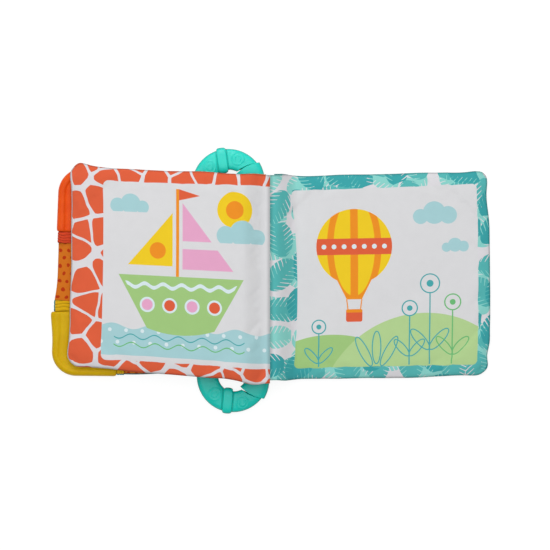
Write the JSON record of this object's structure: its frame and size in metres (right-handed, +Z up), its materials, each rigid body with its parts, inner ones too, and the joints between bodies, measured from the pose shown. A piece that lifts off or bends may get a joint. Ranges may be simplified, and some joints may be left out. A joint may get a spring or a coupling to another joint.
{
  "type": "crinkle cloth book",
  "caption": "Padded cloth baby book, lying open, with crinkle pages, corner teethers round the front cover and ring links on ribbon loops for clipping it to a pram.",
  "frame": {"origin": "on the surface that the book lies on, under the fold of its spine and midway between the outer sides of the two rings", "axes": "+X from the spine to the right page's outer edge, +Y to the book's upper edge, +Z up, out of the pages"},
  "size_m": [0.3511, 0.2122, 0.0286],
  "materials": {
    "printed_fabric": "smooth printed polyester with a fine nap",
    "dotted_fabric": "orange polyester printed with red dots",
    "teal_fabric": "plain woven polyester",
    "batting": "polyester wadding",
    "crinkle_film": "thin crinkling film",
    "orange_silicone": "soft moulded, satin",
    "yellow_silicone": "soft moulded, satin",
    "orange_cuff_fabric": "gathered polyester",
    "yellow_cuff_fabric": "gathered polyester",
    "ring_plastic": "moulded, satin",
    "thread": "sewing thread"
  },
  "bodies": {
    "front_cover": {"cover_inner_fabric": "dotted_fabric", "cover_crinkle_film": "crinkle_film", "cover_batting": "batting", "cover_outer_fabric": "teal_fabric", "orange_corner_teether": "orange_silicone", "yellow_corner_teether": "yellow_silicone", "orange_cuff_side": "orange_cuff_fabric", "orange_cuff_top": "orange_cuff_fabric", "yellow_cuff_side": "yellow_cuff_fabric", "yellow_cuff_bottom": "yellow_cuff_fabric", "spine_strip": "teal_fabric", "spine_thread": "thread", "ring_tab_top": "teal_fabric", "ring_tab_bottom": "teal_fabric"},
    "middle_leaf": {"page_left_fabric": "printed_fabric", "page_crinkle_film": "crinkle_film", "page_batting": "batting", "page_reverse_fabric": "printed_fabric"},
    "back_leaf": {"back_inner_fabric": "printed_fabric", "back_crinkle_film": "crinkle_film", "back_batting": "batting", "back_outer_fabric": "teal_fabric"},
    "top_loop": {"ring_loop_top": "teal_fabric"},
    "top_ring": {"ring_link_top": "ring_plastic"},
    "bottom_loop": {"ring_loop_bottom": "teal_fabric"},
    "bottom_ring": {"ring_link_bottom": "ring_plastic"}
  },
  "joints": [
    {"name": "page_turn", "type": "hinge", "parent": "front_cover", "child": "middle_leaf", "pos_m": [0, 0.0015, 0.02107], "axis": [0, 1, 0], "range_deg": [0, 183]},
    {"name": "book_close", "type": "hinge", "parent": "front_cover", "child": "back_leaf", "pos_m": [0, 0.0015, 0.02107], "axis": [0, 1, 0], "range_deg": [-183, 0]},
    {"name": "top_ring_swing", "type": "hinge", "parent": "front_cover", "child": "top_loop", "pos_m": [-0.0331, 0.04365, 0.00955], "axis": [-1, 0, 0], "range_deg": [0, 90]},
    {"name": "top_ring_turn", "type": "hinge", "parent": "top_loop", "child": "top_ring", "pos_m": [-0.0331, 0.0757, 0.00525], "axis": [0, 0, 1], "continuous": true},
    {"name": "bottom_ring_swing", "type": "hinge", "parent": "front_cover", "child": "bottom_loop", "pos_m": [-0.0293, -0.04495, 0.00955], "axis": [1, 0, 0], "range_deg": [0, 90]},
    {"name": "bottom_ring_turn", "type": "hinge", "parent": "bottom_loop", "child": "bottom_ring", "pos_m": [-0.0293, -0.077, 0.00525], "axis": [0, 0, 1], "continuous": true}
  ]
}
